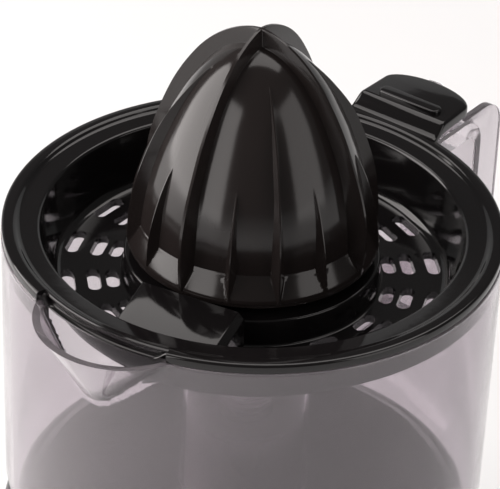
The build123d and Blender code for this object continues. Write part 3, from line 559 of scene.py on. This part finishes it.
def strainer_bowl():
    rim_r, skirt_r, skirt_in, hole_r, collar_in = 74.0, 71.6, 69.9, 9.5, 35.8
    floor, collar_top, skirt_foot = rim_z - 18.5, rim_z - 10.0, rim_z - 11
    floor_under, roof_under = floor - 2.5, collar_top - 2.2
    outline = [
        (hole_r, roof_under), (collar_in, roof_under), (collar_in, floor_under),
        (59.4, floor_under), (61.6, floor + 1.5), (64.4, rim_z - 3.8), (skirt_in, rim_z - 3.8),
        (skirt_in, skirt_foot), (skirt_r, skirt_foot), (skirt_r, rim_z - 2.9),
        (rim_r, rim_z - 2.9), (rim_r, rim_z), (70.4, rim_z), (68.9, rim_z - 1.2),
        (62.8, rim_z - 1.4), (61.2, rim_z - 8), (58.3, floor), (38.4, floor),
        (38.0, collar_top), (hole_r, collar_top),
    ]
    radii = [
        0.3, 0.5, 0.6, 1.5, 3, 0.8, 0.5, 0.4, 0.4, 0.4, 0.5, 0.9, 0.7, 0.7, 0.9, 8, 2.6, 0.8, 0.8,
        0.5,
    ]
    bm = half_section(outline, radii)
    spun(bm, 256)
    return as_piece(bm, "strainer_bowl", strainer_black, 32)


def slot_cutters():
    """Every drain slot as an upright rounded bar, three to a row, but none under the bridge."""
    rings = [(54.6, 12.0), (47.0, 11.0), (41.4, 9.0)]  # radius of each row's middle, slot's length
    rows, width, depth, foot = 16, 4.0, 6, rim_z - 22.5
    under_bridge = (12, 13)
    bm = bmesh.new()
    for row in range(rows):
        if row in under_bridge:
            continue
        for radius, length in rings:
            end = bmesh.ops.create_circle(bm, cap_ends=True, segments=24, radius=width / 2 * MM)
            bar = end["verts"]
            half = (length - width) / 2 * MM
            for vert in bar:
                vert.co.y += half if vert.co.y > 0 else -half
            both = bar + thickened(bm, bar[0].link_faces[0], (0, 0, depth))
            bmesh.ops.translate(bm, vec=in_metres((radius, 0, foot)), verts=both)
            turn = Matrix.Rotation(2 * pi * row / rows, 3, "Z")
            bmesh.ops.rotate(bm, cent=(0, 0, 0), matrix=turn, verts=both)
    bmesh.ops.recalc_face_normals(bm, faces=bm.faces)
    return as_piece(bm, "slots", strainer_black)


NOTCH_FROM, NOTCH_SWEEP = radians(-109.0), radians(37.0)


def swept_part(name, section, start, sweep, steps):
    """Solid from a closed section of (radius, height) points, swept part of the way round."""
    bm = bmesh.new()
    face = bm.faces.new([bm.verts.new(in_metres((r, 0, z))) for r, z in section])
    turn = Matrix.Rotation(start, 3, "Z")
    bmesh.ops.rotate(bm, cent=(0, 0, 0), matrix=turn, verts=bm.verts)
    bmesh.ops.spin(bm, geom=[face], axis=SPIN_AXIS, cent=(0, 0, 0), steps=steps, angle=sweep)
    closed_up(bm)
    return as_piece(bm, name, strainer_black, 50)


def rim_notch():
    """What is taken out above the beak: the rim's outer lip, and the skirt below it."""
    foot, shelf, high = rim_z - 12, rim_z - 3.8, rim_z + 2
    skirt_in, lip_in, outer = 69.8, 70.6, 76.0
    section = [
        (skirt_in, foot), (outer, foot), (outer, high), (lip_in, high), (lip_in, shelf),
        (skirt_in, shelf),
    ]
    return swept_part("notch", section, NOTCH_FROM, NOTCH_SWEEP, 48)


def eased(share):
    """Turns a straight run from nought to one into an S-shaped one."""
    return share * share * (3 - 2 * share)


def pour_lip():
    """Ledge in the bite: a bead, a groove and a thin flange that climbs to the rim at each end."""
    below_rim = [
        (70.2, 0.5), (70.6, 0.15), (71.1, 0.2), (71.4, 0.7), (71.3, 1.3), (70.8, 1.7), (70.8, 2.9),
        (71.2, 3.2), (72.1, 3.3), (72.4, 3.6), (72.1, 4.1), (71.2, 4.4), (70.2, 4.6),
    ]
    section = [(radius, rim_z - drop) for radius, drop in below_rim]
    overlap, climb, flange, rise = radians(0.8), radians(3.5), (2.9, 4.5), 2.6
    sweep = NOTCH_SWEEP + 2 * overlap
    lip = swept_part("pour_lip", section, NOTCH_FROM - overlap, sweep, 80)
    for vert in lip.data.vertices:
        angle = (atan2(vert.co.y, vert.co.x) - NOTCH_FROM) % (2 * pi)
        near_end = min(angle, abs(NOTCH_SWEEP - angle))
        if flange[0] < rim_z - vert.co.z / MM < flange[1]:
            vert.co.z += eased(max(0.0, 1 - near_end / climb)) * rise * MM
    return lip


def soft_edges(bm, edges, width, segments):
    bmesh.ops.bevel(bm, geom=edges, offset=width * MM, affect="EDGES", segments=segments,
                    **ROUNDING)


def edges_above(bm, height):
    return [edge for edge in bm.edges if all(vert.co.z > height * MM for vert in edge.verts)]


def sliced(bm, places):
    """Adds rows of corners across the piece, so that it can be bent there."""
    for y in places:
        bmesh.ops.bisect_plane(bm, geom=bm.verts[:] + bm.edges[:] + bm.faces[:],
                               plane_co=(0, y * MM, 0), plane_no=(0, 1, 0))


def bridge():
    """Hollow bridge between collar and wall: its top falls outwards, one long edge is chamfered."""
    under, top, inner, outer, half, fall = rim_z - 21.0, rim_z - 5.0, 38.1, 62.5, 16.5, 0.21
    wall_top_r, wall_foot_r = 60.9, 59.0
    bm = bmesh.new()
    bmesh.ops.create_cube(bm, size=1.0)
    size = in_metres((outer - inner, 2 * half, top - under))
    bmesh.ops.scale(bm, vec=size, verts=bm.verts)
    middle = in_metres(((inner + outer) / 2, 0, (top + under) / 2))
    bmesh.ops.translate(bm, vec=middle, verts=bm.verts)
    long_edge = [edge for edge in edges_above(bm, top - 1) if all(v.co.y > 0 for v in edge.verts)]
    soft_edges(bm, long_edge, 2, 1)
    soft_edges(bm, edges_above(bm, top - 3), 0.35, 3)
    sliced(bm, range(-12, 13, 3))
    for vert in bm.verts:
        if vert.co.z > (top - 4) * MM:
            vert.co.z -= fall * (vert.co.x - 38 * MM)
        if vert.co.x > 55 * MM:
            wall_r = wall_top_r if vert.co.z > (top - 8) * MM else wall_foot_r
            vert.co.x += (sqrt(wall_r**2 - (vert.co.y / MM) ** 2) - outer) * MM
    turn = Matrix.Rotation(radians(-79.5), 3, "Z")
    bmesh.ops.rotate(bm, cent=(0, 0, 0), matrix=turn, verts=bm.verts)
    bmesh.ops.recalc_face_normals(bm, faces=bm.faces)
    return as_piece(bm, "strainer_bridge", strainer_black, 30)


def thumb_tab():
    """Hollow tab with straight sides and a bowed front, a skirt turned down all round its edge."""
    foot, top, root, reach, half, bow = rim_z + 0.6, rim_z + 4.0, 71.5, 96.5, 15.5, 7.5
    flare, ramp, root_drop, root_t = 0.6, 6.0, 1.4, 1.2  # where the tab leaves the rim
    bm = bmesh.new()
    turns = [radians(angle) for angle in range(0, 181, 10)]
    front = [(half * cos(turn), reach - bow + bow * sin(turn)) for turn in turns]
    plan = [(half + flare, root), *front, (-half - flare, root)]
    face = bm.faces.new([bm.verts.new(in_metres((x, y, foot))) for x, y in plan])
    thickened(bm, face, (0, 0, top - foot))
    lid = [edge for edge in edges_above(bm, top - 0.1) if any(v.co.y > 72 * MM for v in edge.verts)]
    soft_edges(bm, lid, 1.3, 5)
    sliced(bm, [71.8 + 0.4 * cut for cut in range(16)])
    for vert in bm.verts:
        climb = eased(min(1.0, max(0.0, (vert.co.y / MM - root) / ramp)))
        share = (vert.co.z / MM - foot) / (top - foot)
        thickness = root_t + (top - foot - root_t) * climb
        vert.co.z = (foot - root_drop * (1 - climb) + share * thickness) * MM
    bmesh.ops.recalc_face_normals(bm, faces=bm.faces)
    return as_piece(bm, "strainer_tab", strainer_black, 40)


def grip_bar():
    """Round-ended bar across the tab, under the thumb."""
    length, width, height = 22, 4.4, 2.2
    bm = bmesh.new()
    bmesh.ops.create_cube(bm, size=1.0)
    bmesh.ops.scale(bm, vec=in_metres((length, width, height)), verts=bm.verts)
    bmesh.ops.translate(bm, vec=in_metres((0.4, 80.4, rim_z + 4.3)), verts=bm.verts)
    ends = [edge for edge in bm.edges if abs(edge.verts[0].co.z - edge.verts[1].co.z) > MM]
    soft_edges(bm, ends, 1.8, 5)
    soft_edges(bm, edges_above(bm, rim_z + 5), 0.5, 4)
    return as_piece(bm, "tab_grip_bar", strainer_black, 50)


bowl = strainer_bowl()
cut_with(bowl, slot_cutters())
cut_with(bowl, rim_notch())
bowl.data.set_sharp_from_angle(angle=radians(32))
for piece in (bowl, pour_lip(), bridge(), thumb_tab(), grip_bar()):
    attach(piece, "strainer")
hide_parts("strainer")

# ---- large reamer ----------------------------------------------------------------------------
# Satin black ABS shell: four tall fins that meet at the tip, four ribs between them and eight
# short ones low down, with hollow flutes that end in bright facets above the foot.


def along(height, line):
    """Radius at a height on a smooth line through (height, radius) points."""
    if height >= line[-1][0]:
        return line[-1][1]
    spot = next(index for index in range(len(line) - 1) if height <= line[index + 1][0])
    (z0, r0), (z1, r1) = line[spot], line[spot + 1]
    before, after = line[max(0, spot - 1)], line[min(len(line) - 1, spot + 2)]
    start = (r1 - before[1]) / (z1 - before[0])
    end = (after[1] - r0) / (after[0] - z0)
    t, span = (height - z0) / (z1 - z0), z1 - z0
    return r0 + (r1 - r0) * eased(t) + span * t * (1 - t) * (start * (1 - t) - end * t)


# the flutes' floor and the crests of the three kinds of rib, each as (height, radius) points
BODY = [
    (0, 34.3), (8, 34.0), (18, 32.6), (25, 31.0), (32, 28.8), (38.5, 26.2), (44, 23.6), (49, 20.9),
    (53, 18.2), (56.5, 15.3), (59.5, 12.2), (61.6, 9.2), (63.1, 6.1), (64.0, 3.0), (64.3, 0),
]
TALL = [
    (0, 37.6), (5, 38.4), (12, 38.6), (19, 38.0), (26, 36.3), (33.5, 33.6), (42, 30.0),
    (48, 26.8), (53, 23.6), (57.2, 20.5), (60.8, 17.2), (63.7, 13.8), (66, 10.3), (67.8, 6.6),
    (69, 3.0), (69.5, 0.2),
]
MEDIUM = [
    (0, 37.6), (8, 37.6), (20, 35.9), (32, 32.2), (41.6, 27.8), (50.4, 21.4), (57, 15.2),
    (58, 13.8),
]
SHORT = [(0, 37.5), (12, 36.4), (23, 33.3), (29.5, 30.5), (31.5, 29.2)]
CONE_H = 69.5
REAMER_TURN = radians(3.4)
FACET_TOP = 7.4
QUARTER = pi / 4  # from a tall rib's middle to a medium one's


def plate_side(crest, half_crest, draft, offset):
    """Distance from the axis to the side of a rib whose thickness grows inwards by its draft."""
    return (half_crest + crest * draft) / (abs(sin(offset)) + draft * cos(offset))


def half_angles(rib, body):
    """Angles from a rib's middle to the edge of its crest and to where its side meets the body."""
    crest, half_crest, draft = rib
    if not crest:
        return 0.002, 0.004
    edge = asin(min(0.9, half_crest / max(crest, 0.5)))
    root = half_crest + draft * max(0.0, crest - body)
    return edge, max(1.15 * edge, asin(min(0.64, root / max(body, 0.5))))


def rib_lines(height):
    """Crest, half thickness and draft of the tall, short and medium ribs at a height."""
    low = max(0.0, 1 - height / 30)
    rows = (
        (TALL, 0.42, 0.07 + 0.42 * low), (SHORT, 0.16, 0.24 + 0.36 * low),
        (MEDIUM, 0.22, 0.2 + 0.4 * low),
    )
    return [
        (along(height, crest) if height <= crest[-1][0] else 0.0, half, draft)
        for crest, half, draft in rows
    ]


def eighth_turn(height):
    """Directions and radii of the 49 columns from a tall rib's middle to a medium one's."""
    body = along(height, BODY)
    tall, short, medium = rib_lines(height)
    edge, root = half_angles(tall, body)
    short_edge, short_root = half_angles(short, body)
    medium_edge, medium_root = half_angles(medium, body)
    middle = QUARTER / 2
    if root > middle - 2 * short_root:
        middle = (root + QUARTER) / 2
    marks = [
        (0, 0), (2, edge), (11, root), (19, middle - short_root), (23, middle - short_edge),
        (24, middle), (25, middle + short_edge), (29, middle + short_root),
        (37, QUARTER - medium_root), (46, QUARTER - medium_edge), (48, QUARTER),
    ]
    columns = []
    for (first, low), (last, high) in zip(marks, marks[1:]):
        columns += [low + (high - low) * step / (last - first) for step in range(last - first)]
    columns.append(QUARTER)
    foot_facet = 37.3 - max(0.0, height - 0.8) * 0.5
    around = (
        (tall, (0, 2 * QUARTER)), (short, (QUARTER / 2, 3 * QUARTER / 2)), (medium, (QUARTER,)),
    )
    radii = []
    for angle in columns:
        radius = body
        for (crest, half, draft), places in around:
            for place in places:
                if crest and abs(angle - place) < 1.2:
                    side = plate_side(crest, half, draft, angle - place)
                    radius = blended_max(radius, min(crest, side), 0.12)
        if height <= FACET_TOP:
            radius = blended_max(radius, foot_facet, 0.2)
        radii.append(min(radius, max(tall[0], 0.05)))
    return columns, radii


def outer_ring(bm, foot, height):
    """Corners once round the outside at a height: eight eighths, every other one mirrored."""
    eighth_way = list(zip(*eighth_turn(height)))
    mirrored = [(QUARTER - angle, radius) for angle, radius in eighth_way[:0:-1]]
    ring = []
    for eighth in range(8):
        for angle, radius in mirrored if eighth % 2 else eighth_way[:-1]:
            turn = angle + eighth * QUARTER + REAMER_TURN
            spot = (radius * cos(turn), radius * sin(turn), foot + height)
            ring.append(bm.verts.new(in_metres(spot)))
    return ring


def large_reamer():
    """Ribbed shell closed over a plain inner face, with two lugs that the small reamer drives."""
    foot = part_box("large_reamer")[0].z / MM
    wall, top_wall, inner_top, levels = 2.2, 1.6, 62.2, 150
    heights = {CONE_H * (1 - (1 - level / levels) ** 1.35) for level in range(levels)}
    heights |= {FACET_TOP, FACET_TOP + 0.1}
    bm = bmesh.new()
    rings = [outer_ring(bm, foot, height) for height in sorted(heights)]
    around = [Vector((vert.co.x, vert.co.y)).normalized() for vert in rings[0]]
    for z, r in BODY[:-2]:
        inner, inner_z = (r - wall) * MM, (foot + z - top_wall * z / 64) * MM
        rings.insert(0, [bm.verts.new((way.x * inner, way.y * inner, inner_z)) for way in around])
    for lower, upper in zip(rings, rings[1:]):
        for index, vert in enumerate(lower):
            bm.faces.new((lower[index - 1], vert, upper[index], upper[index - 1]))
    for ring, tip_z in ((rings[0], foot + inner_top), (rings[-1], foot + CONE_H)):
        tip = bm.verts.new((0, 0, tip_z * MM))
        for index, vert in enumerate(ring):
            bm.faces.new((ring[index - 1], vert, tip))
    closed_up(bm)
    lug_size, lug_at = (7, 5, 7), (28.8, 0, foot + 4.3)
    for turn in (0, pi):
        lug = bmesh.ops.create_cube(bm, size=1.0)["verts"]
        bmesh.ops.scale(bm, vec=in_metres(lug_size), verts=lug)
        bmesh.ops.translate(bm, vec=in_metres(lug_at), verts=lug)
        bmesh.ops.rotate(bm, cent=(0, 0, 0), matrix=Matrix.Rotation(turn, 3, "Z"), verts=lug)
    piece = as_piece(bm, "large_reamer_shell", reamer_black, 38)
    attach(piece, "large_reamer")
    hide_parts("large_reamer")


large_reamer()
